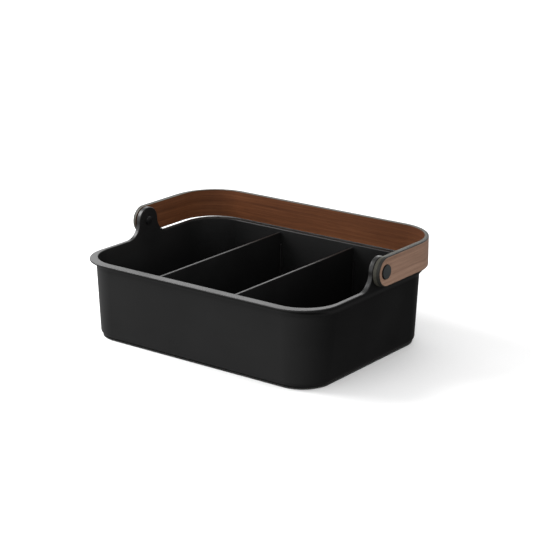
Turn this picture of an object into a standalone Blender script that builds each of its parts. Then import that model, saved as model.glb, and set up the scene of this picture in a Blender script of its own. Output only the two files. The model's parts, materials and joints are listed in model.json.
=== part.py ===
"""Tool storage caddy: a moulded bin with three compartments and a folding veneered handle.

Frame: X runs along the width, -Y is the front and +Z is up. The origin lies under the middle of
the caddy, in the plane that its foot ring stands on. All sizes are in metres.
"""
from math import cos, pi, radians, sin

import bmesh
import bpy
from mathutils import Matrix, Vector

# --- driving dimensions ---------------------------------------------------------------------
FIT_GAP = 0.0003            # clearance that touching pieces keep

RIM_Z = 0.0868              # top of the rim
FLANGE = (0.1570, 0.1174, 0.0432)       # outer edge of the rim: half width, half depth, radius
MOUTH = (0.1520, 0.1076, 0.0397)        # inner edge of the rim
WALL_TOP = (0.1537, 0.1097, 0.0420)     # outer wall where it meets the flare under the rim
WALL_FOOT = (0.1480, 0.1072, 0.0348)    # outer wall where the bottom rounding starts
WALL_TOP_Z = 0.0760
BOTTOM_ROUND = 0.0050       # radius between the wall and the underside
WALL = 0.0022               # wall thickness
FLOOR_ROUND = 0.0060        # radius between the inner wall and the floor
LIP = 0.0020                # thickness of the rim's edge
EDGE = 0.0008               # rounding of the rim's edges

FOOT_Z = 0.0020             # height of the foot ring, so also of the bin's underside
FOOT_INSET = 0.0022         # step from the bottom of the wall to the foot ring
FOOT_WIDTH = 0.0050

EAR_R = 0.0150              # round top of the ears that carry the handle
EAR_FILLET = 0.0168         # hollow curve from the rim up to each ear
PIVOT_Y = 0.0006
PIVOT_Z = RIM_Z + EAR_FILLET
BUSH_R = 0.0046
PIN_R = 0.0030
PIN_HEAD_R = 0.0048
PIN_HEAD = 0.0013
WASHER = 0.0005
WASHER_R = 0.0090
CAP_R = 0.0077
CAP = 0.0028
CAP_RISE = 0.0014           # how far the cap's face stands out of the veneer

STRAP_R = 0.0156            # half the strap's width, which is also the radius of its ends
STRAP_Z = PIVOT_Z - 0.0004  # middle of the strap's width
END_TILT = 0.50             # bevel of the strap's ends: way back for each unit of thickness
STRAP_INNER = FLANGE[0] + 2 * FIT_GAP + WASHER     # half width between the strap's inner faces
STRAP_BACK = 0.1133         # from the middle of the caddy to the strap's inner face behind it
STRAP_BEND = 0.0445         # radius of the strap's inner face at its two bends
BACK_SHARE = 0.92           # the strap's thickness at the back over that of its legs
BEND_GROWTH = 1.60          # growth of the bends' radius for each unit of thickness
CUTTER_REACH = 0.0060       # how far a drill runs past the piece that it cuts
VENEER = 0.0006
PLY = 0.00165
PLY_GAP = 0.00044           # clearance between layers, so that the thinner bends keep FIT_GAP

DIVIDER = 0.0028
DIVIDER_X = 0.0496          # from the middle to each divider
DIVIDER_DROP = 0.0034       # from the rim down to the dividers' top edge
DIVIDER_CORNER = 0.0080
RIB = 0.0014                # guide ribs that hold the dividers: width, height and top
RIB_HEIGHT = 0.0020
RIB_TOP_Z = 0.0700

CORNER_STEPS = 9            # facets in a quarter turn of the bin's corners
EAR_STEPS = 6               # facets in a quarter turn of the ears' outline
SECTION_STEPS = 4           # facets in a quarter turn of the bin's roundings and flare
END_STEPS = 8               # facets in a quarter turn of the strap's ends
DIVIDER_STEPS = 5           # facets in a quarter turn of the dividers' lower corners
ROUND_STEPS = 28            # facets around pins, bushes, washers and caps
SHARP_ANGLE = radians(35)   # edges sharper than this are shaded as creases
EDGE_MIDDLE = EDGE * 0.3    # inset halfway round an edge of radius EDGE

# --- colours: base colour, roughness, metallic ----------------------------------------------
BLACK_PLASTIC = ((0.020, 0.020, 0.021), 0.48, 0.0)
DIVIDER_PLASTIC = ((0.022, 0.022, 0.023), 0.45, 0.0)
RUBBER = ((0.012, 0.012, 0.012), 0.85, 0.0)
WALNUT_OUTER = ((0.260, 0.155, 0.105), 0.55, 0.0)
WALNUT_INNER = ((0.110, 0.045, 0.020), 0.50, 0.0)
GREY_PLY = ((0.120, 0.122, 0.115), 0.50, 0.0)
DARK_PLY = ((0.080, 0.080, 0.066), 0.55, 0.0)
STEEL = ((0.080, 0.080, 0.085), 0.40, 1.0)
NYLON = ((0.060, 0.060, 0.060), 0.60, 0.0)

SIDES = (("right", 1), ("left", -1))


def clear_scene():
    for old in list(bpy.data.objects):
        bpy.data.objects.remove(old, do_unlink=True)


def material(name, look):
    colour, roughness, metallic = look
    made = bpy.data.materials.new(name)
    made.use_nodes = True
    shader = made.node_tree.nodes["Principled BSDF"]
    shader.inputs["Base Color"].default_value = (*colour, 1.0)
    shader.inputs["Roughness"].default_value = roughness
    shader.inputs["Metallic"].default_value = metallic
    return made


def finish(name, bm, look):
    """Turn a bmesh into a smooth-shaded object that faces out."""
    bmesh.ops.recalc_face_normals(bm, faces=bm.faces[:])
    mesh = bpy.data.meshes.new(name)
    bm.to_mesh(mesh)
    bm.free()
    mesh.shade_smooth()
    mesh.set_sharp_from_angle(angle=SHARP_ANGLE)
    mesh.materials.append(look)
    made = bpy.data.objects.new(name, mesh)
    bpy.context.scene.collection.objects.link(made)
    return made


def boolean(target, cutter, operation):
    """Apply an exact Boolean to the target and drop the cutter."""
    step = target.modifiers.new("shape", "BOOLEAN")
    step.operation = operation
    step.solver = "EXACT"
    step.object = cutter
    depsgraph = bpy.context.evaluated_depsgraph_get()
    shaped = bpy.data.meshes.new_from_object(target.evaluated_get(depsgraph))
    target.modifiers.remove(step)
    target.data = shaped
    bpy.data.objects.remove(cutter, do_unlink=True)


def bridge(bm, loops):
    """Join a list of equally long closed loops of vertices with quads."""
    for low, high in zip(loops, loops[1:]):
        count = len(low)
        for i in range(count):
            j = (i + 1) % count
            bm.faces.new((low[i], low[j], high[j], high[i]))


def cap_loop(bm, loop):
    """Close a loop with a fan around its middle."""
    middle = sum((vertex.co for vertex in loop), Vector()) / len(loop)
    hub = bm.verts.new(middle)
    for i, vertex in enumerate(loop):
        bm.faces.new((vertex, loop[(i + 1) % len(loop)], hub))


def mix(low, high, amount):
    return tuple(a + (b - a) * amount for a, b in zip(low, high))


def inset(section, amount):
    return tuple(value - amount for value in section)


def ear_outline():
    """Points (y, z, normal y, normal z) of the rim along one side, over its ear."""
    reach = EAR_R + EAR_FILLET
    points = []
    for step in range(EAR_STEPS + 1):
        angle = pi / 2 * step / EAR_STEPS
        y, z = -reach + EAR_FILLET * sin(angle), PIVOT_Z - EAR_FILLET * cos(angle)
        points.append((y, z, -sin(angle), cos(angle)))
    for step in range(1, 2 * EAR_STEPS):
        angle = pi - pi * step / (2 * EAR_STEPS)
        points.append((EAR_R * cos(angle), PIVOT_Z + EAR_R * sin(angle), cos(angle), sin(angle)))
    mirrored = [(-y, z, -ny, nz) for y, z, ny, nz in reversed(points[:EAR_STEPS + 1])]
    return [(PIVOT_Y + y, z, ny, nz) for y, z, ny, nz in points + mirrored]


def stations():
    """The columns around the bin, anticlockwise: ear columns on the sides, arcs at the corners."""
    ear = ear_outline()
    arc = [pi / 2 * step / CORNER_STEPS for step in range(CORNER_STEPS + 1)]
    columns = [("side", 1, point) for point in ear]
    columns += [("corner", (1, 1), angle) for angle in arc]
    columns += [("corner", (-1, 1), pi / 2 + angle) for angle in arc]
    columns += [("side", -1, point) for point in reversed(ear)]
    columns += [("corner", (-1, -1), pi + angle) for angle in arc]
    columns += [("corner", (1, -1), 3 * pi / 2 + angle) for angle in arc]
    return columns


def level_loop(bm, columns, section, z):
    """A loop around the bin at one height."""
    half_x, half_y, radius = section
    loop = []
    for kind, side, place in columns:
        if kind == "side":
            point = (side * half_x, place[0], z)
        else:
            x = side[0] * (half_x - radius) + radius * cos(place)
            y = side[1] * (half_y - radius) + radius * sin(place)
            point = (x, y, z)
        loop.append(bm.verts.new(point))
    return loop


def rim_loop(bm, columns, section, drop):
    """A loop that follows the rim and its ears, `drop` below their edge."""
    half_x, half_y, radius = section
    loop = []
    for kind, side, place in columns:
        if kind == "side":
            y, z, normal_y, normal_z = place
            point = (side * half_x, y - normal_y * drop, z - normal_z * drop)
        else:
            x = side[0] * (half_x - radius) + radius * cos(place)
            y = side[1] * (half_y - radius) + radius * sin(place)
            point = (x, y, RIM_Z - drop)
        loop.append(bm.verts.new(point))
    return loop


def outer_wall(z):
    start = FOOT_Z + BOTTOM_ROUND
    return mix(WALL_FOOT, WALL_TOP, (z - start) / (WALL_TOP_Z - start))


def inner_wall(z):
    """The inner wall runs straight from the mouth to just above the floor."""
    low = FOOT_Z + WALL + FLOOR_ROUND
    return mix(inset(outer_wall(low), WALL), MOUTH, (z - low) / (RIM_Z - low))


def bin_shell():
    bm = bmesh.new()
    columns = stations()
    loops = []
    quarter = [pi / 2 * step / SECTION_STEPS for step in range(SECTION_STEPS + 1)]
    for angle in quarter:       # underside up into the wall
        section = inset(WALL_FOOT, BOTTOM_ROUND * (1 - sin(angle)))
        loops.append(level_loop(bm, columns, section, FOOT_Z + BOTTOM_ROUND * (1 - cos(angle))))
    lip_z = RIM_Z - LIP
    loops.append(level_loop(bm, columns, WALL_TOP, WALL_TOP_Z))
    flare = inset(FLANGE, EDGE)
    for angle in quarter[1:]:   # hollow flare under the rim
        section = mix(WALL_TOP, flare, 1 - cos(angle))
        loops.append(level_loop(bm, columns, section, WALL_TOP_Z + (lip_z - WALL_TOP_Z) * sin(angle)))
    loops.append(level_loop(bm, columns, FLANGE, lip_z + EDGE))
    loops.append(rim_loop(bm, columns, FLANGE, EDGE))
    loops.append(rim_loop(bm, columns, inset(FLANGE, EDGE_MIDDLE), EDGE_MIDDLE))
    loops.append(rim_loop(bm, columns, inset(FLANGE, EDGE), 0.0))
    loops.append(rim_loop(bm, columns, inset(MOUTH, -EDGE), 0.0))
    loops.append(rim_loop(bm, columns, inset(MOUTH, -EDGE_MIDDLE), EDGE_MIDDLE))
    loops.append(rim_loop(bm, columns, MOUTH, EDGE))
    loops.append(level_loop(bm, columns, inner_wall(lip_z), lip_z))
    floor_z = FOOT_Z + WALL
    for angle in reversed(quarter):     # inner wall down into the floor
        section = inset(inner_wall(floor_z + FLOOR_ROUND), FLOOR_ROUND * (1 - sin(angle)))
        loops.append(level_loop(bm, columns, section, floor_z + FLOOR_ROUND * (1 - cos(angle))))
    bridge(bm, loops)
    cap_loop(bm, loops[0])
    cap_loop(bm, loops[-1])
    return bm


def side_round(bm, x_low, x_high, radius, hole=0.0):
    """A disc, or a ring, around the handle's pivot between two X planes."""
    loops = []
    for x, reach in ((x_low, radius), (x_high, radius), (x_high, hole), (x_low, hole)):
        if reach == 0.0:
            continue
        turn = [2 * pi * step / ROUND_STEPS for step in range(ROUND_STEPS)]
        loops.append([bm.verts.new((x, PIVOT_Y + reach * cos(a), PIVOT_Z + reach * sin(a)))
                      for a in turn])
    if hole:
        bridge(bm, loops + loops[:1])
    else:
        bridge(bm, loops)
        cap_loop(bm, loops[0])
        cap_loop(bm, loops[-1])


def cut_pivot_holes(target, radius, look):
    """Drill both pivots through the ears or through the legs of the strap."""
    start = MOUTH[0] - CUTTER_REACH
    end = STRAP_INNER + 2 * (VENEER + PLY) + CUTTER_REACH
    for _, side in SIDES:
        bm = bmesh.new()
        side_round(bm, side * start, side * end, radius)
        boolean(target, finish("cutter", bm, look), "DIFFERENCE")


def add_guide_ribs(target, look):
    """Two upright ribs on either side of each divider, on the front and the back wall."""
    low_z = FOOT_Z + WALL + FLOOR_ROUND
    root = WALL / 2
    for divider_side in (-1, 1):
        for rib_side in (-1, 1):
            x = divider_side * DIVIDER_X + rib_side * (DIVIDER / 2 + FIT_GAP + RIB / 2)
            for wall_side in (-1, 1):
                bm = bmesh.new()
                corners = []
                for z in (low_z, RIB_TOP_Z):
                    face_y = inner_wall(z)[1]
                    for dx, y in ((-1, face_y + root), (1, face_y + root),
                                  (1, face_y - RIB_HEIGHT), (-1, face_y - RIB_HEIGHT)):
                        corners.append(bm.verts.new((x + dx * RIB / 2, wall_side * y, z)))
                bridge(bm, [corners[:4], corners[4:]])
                bm.faces.new(corners[:4])
                bm.faces.new(corners[4:])
                boolean(target, finish("rib", bm, look), "UNION")


def make_bin(look):
    made = finish("bin", bin_shell(), look)
    cut_pivot_holes(made, BUSH_R + FIT_GAP, look)
    add_guide_ribs(made, look)
    made.data.set_sharp_from_angle(angle=SHARP_ANGLE)


def make_foot_ring(look):
    """A non-slip ring under the edge of the base."""
    bm = bmesh.new()
    columns = [column for column in stations() if column[0] == "corner"]
    outer = inset(WALL_FOOT, FOOT_INSET)
    inner = inset(outer, FOOT_WIDTH)
    top = FOOT_Z - FIT_GAP
    loops = [level_loop(bm, columns, section, z)
             for section, z in ((outer, 0.0), (outer, top), (inner, top), (inner, 0.0))]
    bridge(bm, loops + loops[:1])
    finish("foot_ring", bm, look)


def make_divider(name, x, look):
    """A thin plate between the front and back walls, with round lower corners."""
    bm = bmesh.new()
    low_z = FOOT_Z + WALL + FIT_GAP
    top_z = RIM_Z - DIVIDER_DROP
    corner_z = low_z + DIVIDER_CORNER
    outline = []
    for step in range(DIVIDER_STEPS + 1):
        angle = pi / 2 * step / DIVIDER_STEPS
        y = inner_wall(corner_z)[1] - FIT_GAP - DIVIDER_CORNER * (1 - sin(angle))
        outline.append((y, corner_z - DIVIDER_CORNER * cos(angle)))
    outline.append((inner_wall(top_z)[1] - 2 * FIT_GAP, top_z))
    outline += [(-y, z) for y, z in reversed(outline)]
    sheets = [[bm.verts.new((x + side * DIVIDER / 2, y, z)) for y, z in outline]
              for side in (-1, 1)]
    bridge(bm, sheets)
    for sheet in sheets:
        bm.faces.new(sheet)
    finish(name, bm, look)


def strap_path(offset):
    """The strap's line in plan, from the right pivot round the back to the left one.

    Gives (x, y) points of the face that lies `offset` outside the inner face of the legs. The
    strap is thinner round its bends.
    """
    half_x = STRAP_INNER + offset
    back_y = STRAP_BACK + offset * BACK_SHARE
    radius = STRAP_BEND + offset * BEND_GROWTH
    points = []
    for centre_x, start in ((half_x - radius, 0.0), (radius - half_x, pi / 2)):
        for step in range(CORNER_STEPS + 1):
            angle = start + pi / 2 * step / CORNER_STEPS
            points.append((centre_x + radius * cos(angle), back_y - radius + radius * sin(angle)))
    return points


def strap_layer(name, inner_offset, outer_offset, hole, look):
    """One layer of the U-shaped strap, with round, bevelled ends at the pivots."""
    bm = bmesh.new()
    end = [pi / 2 * (step + 0.5) / END_STEPS for step in range(END_STEPS)]
    faces = []
    for offset in (inner_offset, outer_offset):
        half_x = STRAP_INNER + offset
        end_y = PIVOT_Y + offset * END_TILT
        right = [(half_x, end_y - STRAP_R * cos(a), STRAP_R * sin(a)) for a in end]
        right.append((half_x, end_y, STRAP_R))
        left = [(-x, y, half) for x, y, half in reversed(right)]
        faces.append(right + [(x, y, STRAP_R) for x, y in strap_path(offset)] + left)
    rings = []
    for (x_in, y_in, half), (x_out, y_out, _) in zip(*faces):
        rings.append([bm.verts.new(point) for point in (
            (x_in, y_in, STRAP_Z - half), (x_out, y_out, STRAP_Z - half),
            (x_out, y_out, STRAP_Z + half), (x_in, y_in, STRAP_Z + half))])
    bridge(bm, rings)
    bm.faces.new(rings[0])
    bm.faces.new(rings[-1])
    made = finish(name, bm, look)
    cut_pivot_holes(made, hole, look)
    made.data.set_sharp_from_angle(angle=SHARP_ANGLE)


def make_handle():
    """Two plies between two veneers; the outer ones have wide holes that take the caps."""
    pin_hole = PIN_R + FIT_GAP
    cap_hole = CAP_R + FIT_GAP
    layers = (("handle_inner_veneer", VENEER, pin_hole, material("walnut_inner", WALNUT_INNER)),
              ("handle_inner_ply", PLY, pin_hole, material("dark_ply", DARK_PLY)),
              ("handle_outer_ply", PLY, cap_hole, material("grey_ply", GREY_PLY)),
              ("handle_outer_veneer", VENEER, cap_hole, material("walnut_outer", WALNUT_OUTER)))
    offset = 0.0
    for name, thickness, hole, look in layers:
        strap_layer(name, offset, offset + thickness, hole, look)
        offset += thickness + PLY_GAP
    return offset - PLY_GAP


def pivot_piece(name, parts, look):
    """One turned piece on the pivot's axis; `parts` are (start, end, radius, hole)."""
    made = None
    for start, end, radius, hole in parts:
        bm = bmesh.new()
        side_round(bm, start, end, radius, hole)
        part = finish(name, bm, look)
        if made is None:
            made = part
        else:
            boolean(made, part, "UNION")
            made.data.set_sharp_from_angle(angle=SHARP_ANGLE)
    made.name = name
    made.data.transform(Matrix.Translation((0.0, -PIVOT_Y, -PIVOT_Z)))
    made.location = (0.0, PIVOT_Y, PIVOT_Z)


def make_pivots(strap_thickness):
    """On each side, from the inside: pin with its head, bush, washer and outer cap."""
    steel = material("steel", STEEL)
    nylon = material("nylon", NYLON)
    plastic = material("cap_plastic", BLACK_PLASTIC)
    head_start = MOUTH[0] - FIT_GAP - PIN_HEAD
    cap_end = STRAP_INNER + strap_thickness + CAP_RISE
    for name, side in SIDES:
        pin = ((side * head_start, side * (head_start + PIN_HEAD), PIN_HEAD_R, 0.0),
               (side * (head_start + PIN_HEAD / 2), side * (cap_end - CAP - FIT_GAP), PIN_R, 0.0))
        pivot_piece("pivot_pin_" + name, pin, steel)
        bush = ((side * MOUTH[0], side * FLANGE[0], BUSH_R, PIN_R + FIT_GAP),)
        pivot_piece("pivot_bush_" + name, bush, nylon)
        washer_start = FLANGE[0] + FIT_GAP
        washer = ((side * washer_start, side * (washer_start + WASHER), WASHER_R,
                   PIN_R + FIT_GAP),)
        pivot_piece("pivot_washer_" + name, washer, nylon)
        cap = ((side * (cap_end - CAP), side * cap_end, CAP_R, 0.0),)
        pivot_piece("pivot_cap_" + name, cap, plastic)


def main():
    clear_scene()
    make_bin(material("black_plastic", BLACK_PLASTIC))
    make_foot_ring(material("rubber", RUBBER))
    divider_look = material("divider_plastic", DIVIDER_PLASTIC)
    make_divider("divider_right", DIVIDER_X, divider_look)
    make_divider("divider_left", -DIVIDER_X, divider_look)
    strap_thickness = make_handle()
    make_pivots(strap_thickness)


main()
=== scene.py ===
"""Looks of the tool storage caddy: moulded bin, dividers, veneered strap handle and pivots."""
import json
from math import cos, pi, radians, sin

import bmesh
import bpy
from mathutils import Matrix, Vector


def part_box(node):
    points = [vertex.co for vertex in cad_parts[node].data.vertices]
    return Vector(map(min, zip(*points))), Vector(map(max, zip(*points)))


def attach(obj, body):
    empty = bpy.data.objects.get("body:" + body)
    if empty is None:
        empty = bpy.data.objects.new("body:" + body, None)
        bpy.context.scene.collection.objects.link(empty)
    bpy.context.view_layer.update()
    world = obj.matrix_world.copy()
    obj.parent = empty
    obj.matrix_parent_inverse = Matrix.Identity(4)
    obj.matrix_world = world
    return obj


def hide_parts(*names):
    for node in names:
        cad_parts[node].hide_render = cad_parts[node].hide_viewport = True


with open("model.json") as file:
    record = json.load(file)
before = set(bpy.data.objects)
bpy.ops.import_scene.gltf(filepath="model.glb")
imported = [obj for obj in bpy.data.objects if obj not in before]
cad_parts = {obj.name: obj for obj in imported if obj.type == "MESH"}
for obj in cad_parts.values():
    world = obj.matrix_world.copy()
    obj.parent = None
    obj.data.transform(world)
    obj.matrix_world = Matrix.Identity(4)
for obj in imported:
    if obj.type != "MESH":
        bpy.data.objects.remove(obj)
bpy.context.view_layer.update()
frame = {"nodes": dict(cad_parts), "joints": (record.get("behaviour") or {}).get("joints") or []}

# --- sizes read from the frame ----------------------------------------------------------------
BIN_LOW, BIN_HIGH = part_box("bin")
STRAP_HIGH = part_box("handle_inner_veneer")[1]
SKIN_LOW, SKIN_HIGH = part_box("handle_outer_veneer")
CAP_LOW, CAP_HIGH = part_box("pivot_cap_right")
HINGE = next(joint for joint in frame["joints"] if joint["name"] == "handle_fold")
PIVOT_Y, PIVOT_Z = HINGE["pos_m"][1:]

FIT_GAP = 0.0003            # clearance between pieces that fit together
ROUND_STEPS = 72            # sides of a full circle
SHARP_ANGLE = radians(50)

EAR_R = 0.0150              # round top of the ears
EAR_FILLET = 0.0168         # hollow curve from the rim up to each ear
RIM_Z = BIN_HIGH[2] - EAR_R - EAR_FILLET
# sections of the bin: half width, half depth, corner radius
FLANGE = (BIN_HIGH[0], BIN_HIGH[1], 0.0432)
MOUTH = (FLANGE[0] - 0.0050, FLANGE[1] - 0.0098, 0.0397)
WALL_TOP = (FLANGE[0] - 0.0033, FLANGE[1] - 0.0077, 0.0420)
WALL_FOOT = (FLANGE[0] - 0.0090, FLANGE[1] - 0.0102, 0.0348)
WALL_TOP_Z = RIM_Z - 0.0108
BOTTOM_ROUND = 0.0050
WALL = 0.0022
FLOOR_ROUND = 0.0060
LIP = 0.0020                # thickness of the rim
EDGE = 0.0007               # rounding of the rim
FOOT_Z = BIN_LOW[2]
FOOT_INSET = 0.0022
FOOT_WIDTH = 0.0050
FOOT_EDGE = 0.0004

STRAP_R = (SKIN_HIGH[2] - SKIN_LOW[2]) / 2
STRAP_Z = (SKIN_HIGH[2] + SKIN_LOW[2]) / 2
END_TILT = 0.50             # bevel of the strap's ends: way back for each unit of thickness
BACK_SHARE = 0.92           # the strap's thickness at the back over that of its legs
BEND_GROWTH = 1.60          # growth of the bends' radius for each unit of thickness
CAD_VENEER = 0.0006         # the CAD model's veneer; in these looks it also fills the glue line
STRAP_INNER = STRAP_HIGH[0] - CAD_VENEER        # half width between the strap's inner faces
STRAP_BACK = STRAP_HIGH[1] - CAD_VENEER * BACK_SHARE
STRAP_THICK = SKIN_HIGH[0] - STRAP_INNER
STRAP_BEND = 0.0445
VENEER = 0.0009
LAYER_EDGE = 0.00022        # rounding along the layers' edges
FACE_EDGE = 0.0008          # rounding of the strap's outer edges

PIN_SHAFT_R = 0.0030
PIN_HEAD = 0.0013           # height of the pin's head
PIN_HEAD_EDGE = 0.0003
PIN_HEAD_RISE = 0.0005
CAP_CHAMFER = 0.0007
CAP_RISE = 0.0002
CUTTER_REACH = 0.0040       # how far the drill runs past the strap's faces

DIVIDER = 0.0028
DIVIDER_CORNER = 0.0080
DIVIDER_EDGE = DIVIDER * 0.18
DIVIDER_TOP_GAP = 0.0006
RIB = 0.0014
RIB_HEIGHT = 0.0020
RIB_TOP_Z = 0.0700
RIB_ROOT = WALL / 3         # how far a rib runs into the wall
RIB_TAPER = 0.35

CORNER_STEPS = 28
EAR_STEPS = 16
FLARE_STEPS = 10
LEG_STEPS = 8
END_STEPS = 20
DOME_STEPS = 7
WIDE_ARC = 8                # steps of a quarter turn: wide, medium and small roundings
EDGE_ARC = 5
DIVIDER_ARC = 4
LAYER_ARC = 3

# --- camera -----------------------------------------------------------------------------------
CAMERA_AZIMUTH = radians(37.22)
CAMERA_ELEVATION = radians(17.30)
CAMERA_DISTANCE = 1.8466
CAMERA_AIM = Vector((0.01271, 0.00027, 0.08093))
CAMERA_LENS = 117.6         # mm on a 36 mm wide sensor

SIDES = (("right", 1), ("left", -1))

# --- studio: (sine of the elevation, share of the full glow) ----------------------------------
STUDIO_BANDS = ((-0.36, 0.20), (-0.16, 0.34), (0.16, 1.00), (0.42, 1.00), (0.62, 0.36),
                (1.00, 0.36))
STUDIO_BRIGHT_SIDE = Vector((-0.62, -0.78, 0.0))    # below the horizon: bright at the front left
STUDIO_DARK = 0.05                                  # and this share of it at the back right
STUDIO_STRENGTH = 2.25
KEY_PLACE = Vector((-0.66, -0.26, 0.66))
KEY_SIZE = 0.55
KEY_POWER = 10.0
FLOOR_REACH = 30.0

# --- colours (linear) -------------------------------------------------------------------------
BLACK_PLASTIC = (0.0056, 0.0056, 0.0057)
CAP_PLASTIC = (0.030, 0.033, 0.034)
# near-black rim of the pivot caps: painted shade that stands for the dark shadow gap around each
# cap's edge
CAP_RIM_PAINTED_SHADE = (0.004, 0.004, 0.004)
BEARING_PLASTIC = (0.016, 0.016, 0.016)
# the strap's two walnut faces are lit and shaded copies of one wood: the inner face's darker tones
# are painted shade, and the outer face's paler, greyer tones are painted light and sheen
INNER_WALNUT_PAINTED_SHADE = ((0.046, 0.0145, 0.0046), (0.078, 0.0255, 0.0086), (0.110, 0.0390, 0.0145))
OUTER_WALNUT_PAINTED_LIGHT = ((0.172, 0.098, 0.064), (0.256, 0.153, 0.106), (0.335, 0.210, 0.150))
# the strap's edge as lit and shaded copies of one stained core: the lighter inner ply is a painted
# highlight of the edge's lit inner side, and the darker outer ply is painted shade
INNER_PLY_PAINTED_LIGHT = (0.046, 0.044, 0.034)
OUTER_PLY_PAINTED_SHADE = (0.016, 0.0158, 0.0135)
RUBBER = ((0.008, 0.008, 0.008), (0.020, 0.020, 0.019))
STEEL = ((0.020, 0.020, 0.021), (0.045, 0.045, 0.047))
FLOOR_PAINT = ((0.900, 0.900, 0.902), (0.915, 0.915, 0.915))


# --- node helpers -----------------------------------------------------------------------------
class Nodes:
    """A short way to write the node tree of a material or a world."""

    def __init__(self, owner):
        self.owner = owner
        owner.use_nodes = True
        self.tree = owner.node_tree

    def add(self, kind, inputs=None, **settings):
        node = self.tree.nodes.new(kind)
        for key, value in settings.items():
            setattr(node, key, value)
        for key, value in (inputs or {}).items():
            self.put(node.inputs[key], value)
        return node

    def put(self, socket, value):
        if isinstance(value, bpy.types.NodeSocket):
            self.tree.links.new(value, socket)
        else:
            socket.default_value = value

    def surface(self, **inputs):
        """Put values or sockets on the shader: base_color, specular_ior_level and so on."""
        shader = self.tree.nodes["Principled BSDF"]
        for key, value in inputs.items():
            name = key.replace("_", " ").title().replace("Ior", "IOR")
            self.put(shader.inputs[name], value)
        return self.owner

    def noise(self, vector, scale, detail=2.0, rough=0.5, distortion=0.0):
        node = self.add("ShaderNodeTexNoise", {"Vector": vector, "Scale": scale, "Detail": detail,
                                               "Roughness": rough, "Distortion": distortion})
        return node.outputs["Fac"]

    def math(self, operation, first, second):
        return self.add("ShaderNodeMath", {0: first, 1: second}, operation=operation).outputs[0]

    def vector(self, operation, first, second, output="Vector"):
        node = self.add("ShaderNodeVectorMath", {0: first, 1: second}, operation=operation)
        return node.outputs[output]

    def remap(self, value, low, high, to_low, to_high):
        node = self.add("ShaderNodeMapRange", {"Value": value, "From Min": low, "From Max": high,
                                               "To Min": to_low, "To Max": to_high})
        return node.outputs[0]

    def ramp(self, value, stops):
        node = self.add("ShaderNodeValToRGB", {"Fac": value})
        elements = node.color_ramp.elements
        while len(elements) < len(stops):
            elements.new(0.5)
        for element, (place, colour) in zip(elements, stops):
            element.position = place
            element.color = (*colour, 1.0)
        return node.outputs["Color"]

    def blend_colour(self, amount, first, second):
        node = self.add("ShaderNodeMix", data_type="RGBA")
        self.put(node.inputs[0], amount)
        self.put(node.inputs[6], first)
        self.put(node.inputs[7], second)
        return node.outputs[2]

    def bump(self, height, distance, strength):
        node = self.add("ShaderNodeBump", {"Height": height, "Distance": distance,
                                           "Strength": strength})
        return node.outputs["Normal"]

    def coordinates(self, output="Object"):
        return self.add("ShaderNodeTexCoord").outputs[output]


def new_look(name):
    return Nodes(bpy.data.materials.new(name))


def shades(colour, dark, light):
    return tuple(c * dark for c in colour), tuple(c * light for c in colour)


def moulded_plastic(name, colour, roughness, specular, grain=0.00002):
    """Satin moulded plastic: a fine spark-eroded grain with faint flow and handling marks."""
    n = new_look(name)
    place = n.coordinates()
    fine = n.noise(place, 2600.0, 3.0, 0.6)
    broad = n.noise(place, 14.0, 3.0, 0.55, 0.3)
    smear = n.noise(n.vector("MULTIPLY", place, (9.0, 9.0, 60.0)), 1.0, 4.0, 0.6)
    patch = n.math("ADD", n.remap(broad, 0.3, 0.7, -0.04, 0.04),
                   n.remap(smear, 0.3, 0.7, -0.02, 0.02))
    rough = n.math("ADD", patch, n.remap(fine, 0.35, 0.65, roughness - 0.03, roughness + 0.03))
    dark, light = shades(colour, 0.88, 1.12)
    return n.surface(base_color=n.ramp(broad, ((0.25, dark), (0.75, light))), roughness=rough,
                     specular_ior_level=specular, normal=n.bump(fine, grain, 0.35))


def walnut(name, tones, roughness, specular):
    """Matte oiled walnut. The UV map gives metres along the strap and across it."""
    n = new_look(name)
    dark, mid, light = tones
    place = n.coordinates("UV")
    sway = n.noise(n.vector("MULTIPLY", place, (9.0, 60.0, 1.0)), 1.0, 3.0, 0.5)
    shift = n.add("ShaderNodeCombineXYZ", {"Y": n.remap(sway, 0.2, 0.8, -0.0022, 0.0022)})
    flow = n.vector("ADD", place, shift.outputs[0])
    bands = n.noise(n.vector("MULTIPLY", flow, (3.5, 300.0, 1.0)), 1.0, 3.0, 0.55, 0.4)
    fibres = n.noise(n.vector("MULTIPLY", flow, (26.0, 1500.0, 1.0)), 1.0, 4.0, 0.65)
    broad = n.noise(n.vector("MULTIPLY", place, (7.0, 24.0, 1.0)), 1.0, 2.0, 0.5)
    pores = n.noise(n.vector("MULTIPLY", flow, (110.0, 3400.0, 1.0)), 1.0, 2.0, 0.5)
    pore_mask = n.remap(pores, 0.60, 0.70, 0.0, 1.0)
    figure = n.math("ADD", n.math("MULTIPLY", bands, 0.52), n.math("MULTIPLY", fibres, 0.48))
    figure = n.math("ADD", figure, n.remap(broad, 0.3, 0.7, -0.045, 0.045))
    colour = n.ramp(figure, ((0.34, dark), (0.50, mid), (0.66, light)))
    pored = n.blend_colour(n.math("MULTIPLY", pore_mask, 0.55), colour,
                           tuple(c * 0.45 for c in dark) + (1.0,))
    rough = n.remap(fibres, 0.3, 0.7, roughness - 0.06, roughness + 0.07)
    height = n.math("SUBTRACT", fibres, n.math("MULTIPLY", pore_mask, 0.8))
    return n.surface(base_color=pored, roughness=rough, specular_ior_level=specular,
                     normal=n.bump(height, 0.00006, 0.5))


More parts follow.
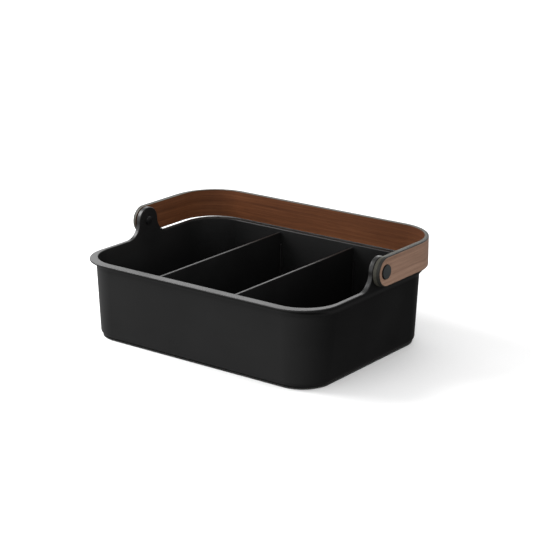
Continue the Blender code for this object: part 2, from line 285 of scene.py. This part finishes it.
def stained_ply(name, colour, roughness):
    """The strap's stained core as its edge shows it: fine grain that runs along the strap."""
    n = new_look(name)
    place = n.coordinates("UV")
    fibres = n.noise(n.vector("MULTIPLY", place, (30.0, 2400.0, 1.0)), 1.0, 4.0, 0.6)
    blotch = n.noise(n.vector("MULTIPLY", place, (45.0, 45.0, 1.0)), 1.0, 3.0, 0.55)
    figure = n.math("ADD", n.math("MULTIPLY", fibres, 0.6), n.math("MULTIPLY", blotch, 0.4))
    dark, light = shades(colour, 0.68, 1.25)
    rough = n.remap(blotch, 0.3, 0.7, roughness - 0.06, roughness + 0.06)
    return n.surface(base_color=n.ramp(figure, ((0.35, dark), (0.65, light))), roughness=rough,
                     specular_ior_level=0.22, normal=n.bump(fibres, 0.00005, 0.4))


def rubber(name):
    n = new_look(name)
    place = n.coordinates()
    grain = n.noise(place, 1800.0, 3.0, 0.6)
    dust = n.noise(place, 60.0, 4.0, 0.6)
    return n.surface(base_color=n.ramp(dust, ((0.3, RUBBER[0]), (0.75, RUBBER[1]))),
                     roughness=n.remap(grain, 0.3, 0.7, 0.75, 0.92),
                     normal=n.bump(grain, 0.00003, 0.5))


def dark_steel(name):
    """Blackened steel with turning marks around the pivot's axis."""
    n = new_look(name)
    place = n.coordinates()
    centred = n.vector("SUBTRACT", place, (0.0, PIVOT_Y, PIVOT_Z))
    flat = n.vector("MULTIPLY", centred, (0.0, 1.0, 1.0))
    radius = n.add("ShaderNodeVectorMath", {0: flat}, operation="LENGTH").outputs["Value"]
    rings = n.noise(n.add("ShaderNodeCombineXYZ", {"X": radius}).outputs[0], 5200.0, 3.0, 0.6)
    wear = n.noise(place, 420.0, 4.0, 0.6)
    return n.surface(base_color=n.ramp(wear, ((0.35, STEEL[0]), (0.7, STEEL[1]))), metallic=1.0,
                     roughness=n.remap(rings, 0.3, 0.7, 0.34, 0.50),
                     normal=n.bump(rings, 0.00002, 0.4))


# --- mesh helpers -----------------------------------------------------------------------------
def circle(x, radius):
    """Points of a circle about the pivots' axis."""
    turns = [2 * pi * step / ROUND_STEPS for step in range(ROUND_STEPS)]
    return [(x, PIVOT_Y + radius * cos(turn), PIVOT_Z + radius * sin(turn)) for turn in turns]


def quarter(steps):
    return [pi / 2 * step / steps for step in range(steps + 1)]


def mix(low, high, amount):
    return tuple(a + (b - a) * amount for a, b in zip(low, high))


def inset(section, amount):
    return tuple(value - amount for value in section)


def bridge(bm, loops):
    for low, high in zip(loops, loops[1:]):
        count = len(low)
        for i in range(count):
            j = (i + 1) % count
            bm.faces.new((low[i], low[j], high[j], high[i]))


def cap_loop(bm, loop):
    middle = sum((vertex.co for vertex in loop), Vector()) / len(loop)
    hub = bm.verts.new(middle)
    for i, vertex in enumerate(loop):
        bm.faces.new((vertex, loop[(i + 1) % len(loop)], hub))


def smooth_normals(piece):
    piece.data.set_sharp_from_angle(angle=SHARP_ANGLE)
    weighted = piece.modifiers.new("normals", "WEIGHTED_NORMAL")
    weighted.keep_sharp = True


def finish_piece(name, bm, look, body, replaced):
    """Turn a bmesh into a smooth-shaded piece that rides on a body for some CAD nodes."""
    bmesh.ops.recalc_face_normals(bm, faces=bm.faces[:])
    mesh = bpy.data.meshes.new(name)
    bm.to_mesh(mesh)
    bm.free()
    mesh.shade_smooth()
    mesh.materials.append(look)
    piece = bpy.data.objects.new(name, mesh)
    bpy.context.scene.collection.objects.link(piece)
    smooth_normals(piece)
    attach(piece, body)
    if replaced:
        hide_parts(*replaced)
    return piece


# --- bin --------------------------------------------------------------------------------------
def ear_outline():
    """Points (y, z, normal y, normal z) of the rim along one side, over its ear."""
    reach = EAR_R + EAR_FILLET
    points = []
    for step in range(EAR_STEPS + 1):
        angle = pi / 2 * step / EAR_STEPS
        y, z = -reach + EAR_FILLET * sin(angle), PIVOT_Z - EAR_FILLET * cos(angle)
        points.append((y, z, -sin(angle), cos(angle)))
    for step in range(1, 2 * EAR_STEPS):
        angle = pi - pi * step / (2 * EAR_STEPS)
        points.append((EAR_R * cos(angle), PIVOT_Z + EAR_R * sin(angle), cos(angle), sin(angle)))
    mirrored = [(-y, z, -ny, nz) for y, z, ny, nz in reversed(points[:EAR_STEPS + 1])]
    return [(PIVOT_Y + y, z, ny, nz) for y, z, ny, nz in points + mirrored]


def stations():
    """The columns around the bin, anticlockwise: ear columns on the sides, arcs at the corners."""
    ear = ear_outline()
    arc = quarter(CORNER_STEPS)
    columns = [("side", 1, point) for point in ear]
    columns += [("corner", (1, 1), angle) for angle in arc]
    columns += [("corner", (-1, 1), pi / 2 + angle) for angle in arc]
    columns += [("side", -1, point) for point in reversed(ear)]
    columns += [("corner", (-1, -1), pi + angle) for angle in arc]
    columns += [("corner", (1, -1), 3 * pi / 2 + angle) for angle in arc]
    return columns


def loop_around(bm, columns, section, z=None, drop=0.0, side_section=None, side_z=None):
    """A loop around the bin, level at `z`, or `drop` below the edge of the rim and its ears.

    A `side_section` at `side_z` takes over towards the two sides.
    """
    loop = []
    for kind, side, place in columns:
        here, here_z = section, z
        if side_section:
            share = 1.0 if kind == "side" else cos(place) ** 2
            here = mix(section, side_section, share)
            here_z = z + (side_z - z) * share
        half_x, half_y, radius = here
        if kind == "side":
            y, edge_z, normal_y, normal_z = place
            if z is None:
                point = (side * half_x, y - normal_y * drop, edge_z - normal_z * drop)
            else:
                point = (side * half_x, y, here_z)
        else:
            x = side[0] * (half_x - radius) + radius * cos(place)
            y = side[1] * (half_y - radius) + radius * sin(place)
            point = (x, y, RIM_Z - drop if z is None else here_z)
        loop.append(bm.verts.new(point))
    return loop


def outer_wall(z):
    start = FOOT_Z + BOTTOM_ROUND
    return mix(WALL_FOOT, WALL_TOP, (z - start) / (WALL_TOP_Z - start))


def inner_wall(z):
    low = FOOT_Z + WALL + FLOOR_ROUND
    return mix(inset(outer_wall(low), WALL), MOUTH, (z - low) / (RIM_Z - low))


def make_bin(look):
    bm = bmesh.new()
    columns = stations()
    loops = []
    for angle in quarter(WIDE_ARC):
        section = inset(WALL_FOOT, BOTTOM_ROUND * (1 - sin(angle)))
        loops.append(loop_around(bm, columns, section, FOOT_Z + BOTTOM_ROUND * (1 - cos(angle))))
    for part in (0.25, 0.5, 0.75):
        z = FOOT_Z + BOTTOM_ROUND + (WALL_TOP_Z - FOOT_Z - BOTTOM_ROUND) * part
        loops.append(loop_around(bm, columns, outer_wall(z), z))
    loops.append(loop_around(bm, columns, WALL_TOP, WALL_TOP_Z))
    lip_z = RIM_Z - LIP
    flare_height = lip_z - WALL_TOP_Z
    side_height = flare_height + EDGE / 2
    for step in range(1, FLARE_STEPS + 1):      # hollow at the front and back, gentle at the sides
        part = step / (FLARE_STEPS + 2)
        angle = pi / 2 * step / FLARE_STEPS
        gentle = part * part * (3 - 2 * part)
        loops.append(loop_around(bm, columns, mix(WALL_TOP, inset(FLANGE, EDGE), 1 - cos(angle)),
                                 WALL_TOP_Z + flare_height * sin(angle),
                                 side_section=mix(WALL_TOP, FLANGE, gentle),
                                 side_z=WALL_TOP_Z + side_height * part))
    for step in (1, 2):                 # under edge of the lip
        part = (FLARE_STEPS + step) / (FLARE_STEPS + 2)
        angle = pi / 4 * step
        gentle = part * part * (3 - 2 * part)
        loops.append(loop_around(bm, columns, inset(FLANGE, EDGE * (1 - sin(angle))),
                                 lip_z + EDGE * (1 - cos(angle)),
                                 side_section=mix(WALL_TOP, FLANGE, gentle),
                                 side_z=WALL_TOP_Z + side_height * part))
    for angle in quarter(EDGE_ARC):            # upper outer edge
        loops.append(loop_around(bm, columns, inset(FLANGE, EDGE * (1 - cos(angle))),
                                 drop=EDGE * (1 - sin(angle))))
    for angle in quarter(EDGE_ARC):            # upper inner edge
        loops.append(loop_around(bm, columns, inset(MOUTH, -EDGE * (1 - sin(angle))),
                                 drop=EDGE * (1 - cos(angle))))
    for z in (RIM_Z - 2 * LIP, RIM_Z * 0.75, RIM_Z * 0.5, RIM_Z * 0.25):
        loops.append(loop_around(bm, columns, inner_wall(z), z))
    floor_z = FOOT_Z + WALL
    for angle in reversed(quarter(WIDE_ARC)):
        section = inset(inner_wall(floor_z + FLOOR_ROUND), FLOOR_ROUND * (1 - sin(angle)))
        loops.append(loop_around(bm, columns, section, floor_z + FLOOR_ROUND * (1 - cos(angle))))
    bridge(bm, loops)
    cap_loop(bm, loops[0])
    cap_loop(bm, loops[-1])
    finish_piece("bin_shell", bm, look, "bin", ["bin"])


def make_guide_ribs(look):
    """Upright ribs on either side of each divider, on the front and the back wall."""
    bm = bmesh.new()
    low_z = FOOT_Z + WALL + FLOOR_ROUND
    for divider in ("divider_left", "divider_right"):
        low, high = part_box(divider)
        for x in (low[0] - FIT_GAP - RIB / 2, high[0] + FIT_GAP + RIB / 2):
            for wall_side in (-1, 1):
                rings = []
                for z, shrink in ((low_z, 0.0), (RIB_TOP_Z - RIB / 2, 0.0), (RIB_TOP_Z, RIB_TAPER)):
                    face_y = inner_wall(z)[1] + RIB_ROOT
                    half, reach = RIB / 2 * (1 - shrink), RIB_HEIGHT * (1 - shrink) + RIB_ROOT
                    outline = [(-half, face_y), (-half, face_y - reach + half)]
                    outline += [(-half * cos(a), face_y - reach + half - half * sin(a))
                                for a in (pi / 4, pi / 2, 3 * pi / 4)]
                    outline += [(half, face_y - reach + half), (half, face_y)]
                    rings.append([bm.verts.new((x + dx, wall_side * y, z)) for dx, y in outline])
                bridge(bm, rings)
                bm.faces.new(rings[0])
                bm.faces.new(rings[-1])
    finish_piece("bin_guide_ribs", bm, look, "bin", [])


def make_foot_ring(look):
    bm = bmesh.new()
    columns = [column for column in stations() if column[0] == "corner"]
    outer = inset(WALL_FOOT, FOOT_INSET)
    inner = inset(outer, FOOT_WIDTH)
    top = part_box("foot_ring")[1][2]
    soft = FOOT_EDGE * 0.3              # middle of the outer edge's rounding
    loops = [loop_around(bm, columns, section, z) for section, z in (
        (inset(outer, FOOT_EDGE), 0.0), (inset(outer, soft), soft), (outer, FOOT_EDGE),
        (outer, top), (inner, top), (inner, FOOT_EDGE), (inset(inner, -FOOT_EDGE), 0.0))]
    bridge(bm, loops + loops[:1])
    finish_piece("foot_ring_rubber", bm, look, "bin", ["foot_ring"])


def make_divider(node, look):
    """A thin plate with a rounded top edge and round lower corners."""
    low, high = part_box(node)
    x = (low[0] + high[0]) / 2
    corner_z = low[2] + DIVIDER_CORNER
    outline = []
    for angle in quarter(WIDE_ARC):
        y = inner_wall(corner_z)[1] - FIT_GAP - DIVIDER_CORNER * (1 - sin(angle))
        outline.append((y, corner_z - DIVIDER_CORNER * cos(angle)))
    top = inner_wall(high[2])[1] - DIVIDER_TOP_GAP
    edge = DIVIDER_EDGE
    for angle in quarter(DIVIDER_ARC):
        outline.append((top - edge * (1 - cos(angle)), high[2] - edge * (1 - sin(angle))))
    outline += [(-y, z) for y, z in reversed(outline)]
    bm = bmesh.new()
    middle_z = (low[2] + high[2]) / 2
    rings = []
    flat = DIVIDER / 2 - edge
    rolls = [(flat + edge * cos(angle), edge * (1 - sin(angle))) for angle in quarter(DIVIDER_ARC)]
    rolls += [(-spread, pull) for spread, pull in reversed(rolls)]
    for spread, pull in rolls:
        ring = []
        for y, z in outline:
            inward_y = pull if y < 0 else -pull
            inward_z = pull if z < middle_z else -pull
            ring.append(bm.verts.new((x + spread, y + inward_y, z + inward_z)))
        rings.append(ring)
    bridge(bm, rings)
    bm.faces.new(rings[0])
    bm.faces.new(rings[-1])
    finish_piece(node + "_plate", bm, look, node, [node])


# --- strap handle -----------------------------------------------------------------------------
def strap_points(offset):
    """Points (x, y, half height, metres along) of the face `offset` outside the inner face."""
    half_x, back_y = STRAP_INNER + offset, STRAP_BACK + offset * BACK_SHARE
    radius = STRAP_BEND + offset * BEND_GROWTH
    end_y = PIVOT_Y + offset * END_TILT
    middle_half_x = STRAP_INNER + STRAP_THICK / 2
    middle_radius = STRAP_BEND + STRAP_THICK / 2
    right = []
    for step in range(END_STEPS):
        angle = pi / 2 * (step + 0.25) / END_STEPS
        right.append((half_x, end_y - STRAP_R * cos(angle), STRAP_R * sin(angle),
                      -STRAP_R * cos(angle)))
    leg = STRAP_BACK - STRAP_BEND - PIVOT_Y
    own_leg = back_y - radius - end_y
    for step in range(LEG_STEPS + 1):
        part = step / LEG_STEPS
        right.append((half_x, end_y + own_leg * part, STRAP_R, leg * part))
    bend = middle_radius * pi / 2
    for angle in quarter(CORNER_STEPS)[1:]:
        right.append((half_x - radius * (1 - cos(angle)), back_y - radius * (1 - sin(angle)),
                      STRAP_R, leg + bend * angle / (pi / 2)))
    half_span = middle_half_x - middle_radius
    length = leg + bend + half_span
    left = [(-x, y, half, 2 * length - along) for x, y, half, along in reversed(right)]
    middle = [((half_x - radius) * side, back_y, STRAP_R, length - half_span * side)
              for side in (0.5, 0.0, -0.5)]
    return right + middle + left


def strap_layer(name, inner, outer, hole, looks, replaced, edges):
    """One layer of the strap. `looks` are for its faces and its edges; `edges` are roundings."""
    bm = bmesh.new()
    uv = bm.loops.layers.uv.new("strap")
    inner_edge, outer_edge = edges
    section = []                        # (offset, side, how far below the edge)
    for angle in quarter(LAYER_ARC):
        section.append((inner + inner_edge * (1 - sin(angle)), -1, inner_edge * (1 - cos(angle))))
    section = section[::-1]
    for angle in quarter(LAYER_ARC):
        section.append((outer - outer_edge * (1 - sin(angle)), -1, outer_edge * (1 - cos(angle))))
    section += [(offset, 1, drop) for offset, _, drop in reversed(section)]
    faces = [strap_points(offset) for offset, _, _ in section]
    rings = []
    places = {}
    for index in range(len(faces[0])):
        ring = []
        for (offset, side, drop), face in zip(section, faces):
            x, y, half, along = face[index]
            scale = (STRAP_R - drop) / STRAP_R
            end_y = PIVOT_Y + offset * END_TILT
            if y < end_y:
                y = end_y + (y - end_y) * scale
            z = STRAP_Z + side * half * scale
            vertex = bm.verts.new((x, y, z))
            places[vertex] = (along, side * half + offset)
            ring.append(vertex)
        rings.append(ring)
    bridge(bm, rings)
    flat_spans = (len(section) // 2 - 1, len(section) - 1)
    for index, face in enumerate(bm.faces):
        face.material_index = 0 if index % len(section) in flat_spans else 1
    for ring in (rings[0], rings[-1]):
        bm.faces.new(ring).material_index = 1
    for face in bm.faces:
        for corner in face.loops:
            corner[uv].uv = places[corner.vert]
    piece = finish_piece(name, bm, looks[0], "handle", replaced)
    piece.data.materials.append(looks[1])
    drill(piece, hole)
    return piece


def drill(piece, radius):
    """Cut the pivot hole through both legs of the strap."""
    bm = bmesh.new()
    for _, side in SIDES:
        loops = []
        for x in (STRAP_INNER - CUTTER_REACH, STRAP_INNER + STRAP_THICK + CUTTER_REACH):
            loops.append([bm.verts.new(point) for point in circle(side * x, radius)])
        bridge(bm, loops)
        bm.faces.new(loops[0])
        bm.faces.new(loops[-1])
    bmesh.ops.recalc_face_normals(bm, faces=bm.faces[:])
    mesh = bpy.data.meshes.new("drill")
    bm.to_mesh(mesh)
    bm.free()
    cutter = bpy.data.objects.new("drill", mesh)
    bpy.context.scene.collection.objects.link(cutter)
    piece.modifiers.clear()
    cut = piece.modifiers.new("hole", "BOOLEAN")
    cut.operation = "DIFFERENCE"
    cut.solver = "EXACT"
    cut.object = cutter
    depsgraph = bpy.context.evaluated_depsgraph_get()
    piece.data = bpy.data.meshes.new_from_object(piece.evaluated_get(depsgraph))
    piece.modifiers.clear()
    bpy.data.objects.remove(cutter, do_unlink=True)
    smooth_normals(piece)


def make_handle():
    core = (STRAP_THICK - 2 * VENEER) / 2
    pin_hole = PIN_SHAFT_R + FIT_GAP
    cap_hole = (CAP_HIGH[2] - CAP_LOW[2]) / 2 + FIT_GAP
    # inner face: walnut darkened as painted shade; outer face: walnut paled as painted light and
    # sheen
    inner_walnut_shaded = walnut("walnut_inner_face_painted_shade", INNER_WALNUT_PAINTED_SHADE, 0.50, 0.15)
    outer_walnut_lit = walnut("walnut_outer_face_painted_light", OUTER_WALNUT_PAINTED_LIGHT, 0.44, 0.50)
    # inner ply and inner veneer edge: paler as a painted highlight; outer ply and outer veneer
    # edge: darker as painted shade
    lit_ply = stained_ply("ply_edge_painted_light", INNER_PLY_PAINTED_LIGHT, 0.50)
    shaded_ply_outer = stained_ply("ply_edge_painted_shade", OUTER_PLY_PAINTED_SHADE, 0.52)
    thin = LAYER_EDGE / 3
    strap_layer("strap_inner_face", 0.0, VENEER, pin_hole, (inner_walnut_shaded, lit_ply),
                ["handle_inner_veneer"], (FACE_EDGE / 4, thin))
    strap_layer("strap_inner_ply", VENEER, VENEER + core, pin_hole, (lit_ply, lit_ply),
                ["handle_inner_ply"], (thin, LAYER_EDGE))
    strap_layer("strap_outer_ply", VENEER + core, VENEER + 2 * core, cap_hole,
                (shaded_ply_outer, shaded_ply_outer), ["handle_outer_ply"], (LAYER_EDGE, thin))
    strap_layer("strap_outer_face", VENEER + 2 * core, STRAP_THICK, cap_hole,
                (outer_walnut_lit, shaded_ply_outer), ["handle_outer_veneer"],
                (thin, FACE_EDGE))


# --- pivots -----------------------------------------------------------------------------------
def turned(name, profile, look, body, replaced):
    """A piece turned about the pivots' axis from an open (x, radius) profile."""
    bm = bmesh.new()
    loops = [[bm.verts.new(point) for point in circle(x, radius)] for x, radius in profile]
    bridge(bm, loops)
    cap_loop(bm, loops[0])
    cap_loop(bm, loops[-1])
    return finish_piece(name, bm, look, body, replaced)


def domed_face(face_x, radius, rise, edge):
    """Profile of a low dome with a rounded rim, from its side to its middle. +X faces out."""
    points = [(face_x - rise - edge * (1 - sin(a)), radius - edge * (1 - cos(a)))
              for a in quarter(EDGE_ARC)]
    for step in range(1, DOME_STEPS):
        reach = (radius - edge) * (1 - step / DOME_STEPS)
        points.append((face_x - rise * (reach / (radius - edge)) ** 2, reach))
    return points


def make_pivots(cap_look, shade_rim_look, pin_look, bearing_look):
    for name, side in SIDES:
        cap_low, cap_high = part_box("pivot_cap_" + name)
        start, end = sorted((abs(cap_low[0]), abs(cap_high[0])))
        radius = (cap_high[2] - cap_low[2]) / 2
        profile = [(start, radius)] + domed_face(end, radius, CAP_RISE, CAP_CHAMFER)
        cap = turned("pivot_cap_face_" + name, [(side * x, r) for x, r in profile], cap_look,
                     "handle", ["pivot_cap_" + name])
        cap.data.materials.append(shade_rim_look)
        # the cap's rounded rim gets the near-black look: painted shade of the gap around the cap
        for face in cap.data.polygons:
            if (face.center.yz - Vector((PIVOT_Y, PIVOT_Z))).length > radius - CAP_CHAMFER:
                face.material_index = 1
        pin_low, pin_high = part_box("pivot_pin_" + name)
        head, tip = sorted((abs(pin_low[0]), abs(pin_high[0])))
        radius = (pin_high[2] - pin_low[2]) / 2
        neck = head + PIN_HEAD
        dome = [(2 * head - x, r)
                for x, r in domed_face(head, radius, PIN_HEAD_RISE, PIN_HEAD_EDGE)]
        profile = [(tip, PIN_SHAFT_R), (neck, PIN_SHAFT_R), (neck, radius)] + dome
        turned("pivot_pin_steel_" + name, [(side * x, r) for x, r in profile], pin_look,
               "bin", ["pivot_pin_" + name])
        for part in ("pivot_bush_", "pivot_washer_"):
            node = frame["nodes"][part + name]
            node.data.materials.clear()
            node.data.materials.append(bearing_look)


# --- stage ------------------------------------------------------------------------------------
def make_floor():
    n = new_look("floor_paint")
    speck = n.noise(n.coordinates(), 300.0, 3.0, 0.6)
    look = n.surface(base_color=n.ramp(speck, ((0.3, FLOOR_PAINT[0]), (0.7, FLOOR_PAINT[1]))),
                     roughness=0.75, specular_ior_level=0.2)
    mesh = bpy.data.meshes.new("floor")
    corners = ((-1, -1), (1, -1), (1, 1), (-1, 1))
    mesh.from_pydata([(x * FLOOR_REACH, y * FLOOR_REACH, 0) for x, y in corners],
                     [], [(0, 1, 2, 3)])
    mesh.materials.append(look)
    floor = bpy.data.objects.new("floor", mesh)
    bpy.context.scene.collection.objects.link(floor)
    floor.visible_glossy = False        # the walls see the dim lower half of the studio instead
    floor.visible_diffuse = False


def make_studio():
    """Light bands by height all round, and a lower half that darkens towards the back right."""
    sky = bpy.data.worlds.new("studio")
    bpy.context.scene.world = sky
    n = Nodes(sky)
    direction = n.coordinates("Generated")
    rise = n.add("ShaderNodeSeparateXYZ", {0: direction}).outputs["Z"]
    height = n.remap(rise, -1.0, 1.0, 0.0, 1.0)
    bands = n.ramp(height, [((place + 1) / 2, (glow,) * 3) for place, glow in STUDIO_BANDS])
    toward = n.vector("DOT_PRODUCT", direction, STUDIO_BRIGHT_SIDE, "Value")
    low_share = n.remap(toward, -0.9, 0.9, STUDIO_DARK, 1.0)
    above = n.remap(rise, -0.05, 0.15, 0.0, 1.0)
    share = n.math("MAXIMUM", low_share, above)
    glow = n.add("ShaderNodeVectorMath", {0: bands, "Scale": share}, operation="SCALE")
    background = n.tree.nodes["Background"]
    n.put(background.inputs["Color"], glow.outputs["Vector"])
    n.put(background.inputs["Strength"], STUDIO_STRENGTH)

    key = bpy.data.lights.new("key", "AREA")
    key.shape = "DISK"
    key.size = KEY_SIZE
    key.energy = KEY_POWER
    lamp = bpy.data.objects.new("key", key)
    lamp.location = KEY_PLACE
    lamp.visible_camera = False
    lamp.rotation_mode = "QUATERNION"
    lamp.rotation_quaternion = KEY_PLACE.to_track_quat("Z", "Y")
    bpy.context.scene.collection.objects.link(lamp)


def make_camera():
    data = bpy.data.cameras.new("camera")
    data.lens = CAMERA_LENS
    data.sensor_width = 36.0
    camera = bpy.data.objects.new("camera", data)
    back = Vector((sin(CAMERA_AZIMUTH) * cos(CAMERA_ELEVATION),
                   -cos(CAMERA_AZIMUTH) * cos(CAMERA_ELEVATION), sin(CAMERA_ELEVATION)))
    camera.location = CAMERA_AIM + back * CAMERA_DISTANCE
    camera.rotation_mode = "QUATERNION"
    camera.rotation_quaternion = back.to_track_quat("Z", "Y")
    bpy.context.scene.collection.objects.link(camera)
    bpy.context.scene.camera = camera
    bpy.context.scene.view_settings.view_transform = "Standard"


def main():
    make_camera()
    make_floor()
    make_studio()
    shell = moulded_plastic("bin_plastic_grain", BLACK_PLASTIC, 0.34, 0.30)
    plate = moulded_plastic("divider_plastic_grain", BLACK_PLASTIC, 0.34, 0.30)
    cap = moulded_plastic("cap_plastic_grain", CAP_PLASTIC, 0.50, 0.30, 0.00004)
    # near-black painted shade for the caps' rims
    cap_rim_shade = moulded_plastic("cap_rim_painted_shade", CAP_RIM_PAINTED_SHADE, 0.45, 0.10)
    bearing = moulded_plastic("bearing_plastic_grain", BEARING_PLASTIC, 0.50, 0.40)
    make_bin(shell)
    make_guide_ribs(shell)
    make_foot_ring(rubber("foot_rubber_grain"))
    make_divider("divider_left", plate)
    make_divider("divider_right", plate)
    make_handle()
    make_pivots(cap, cap_rim_shade, dark_steel("pin_steel_turned"), bearing)


main()
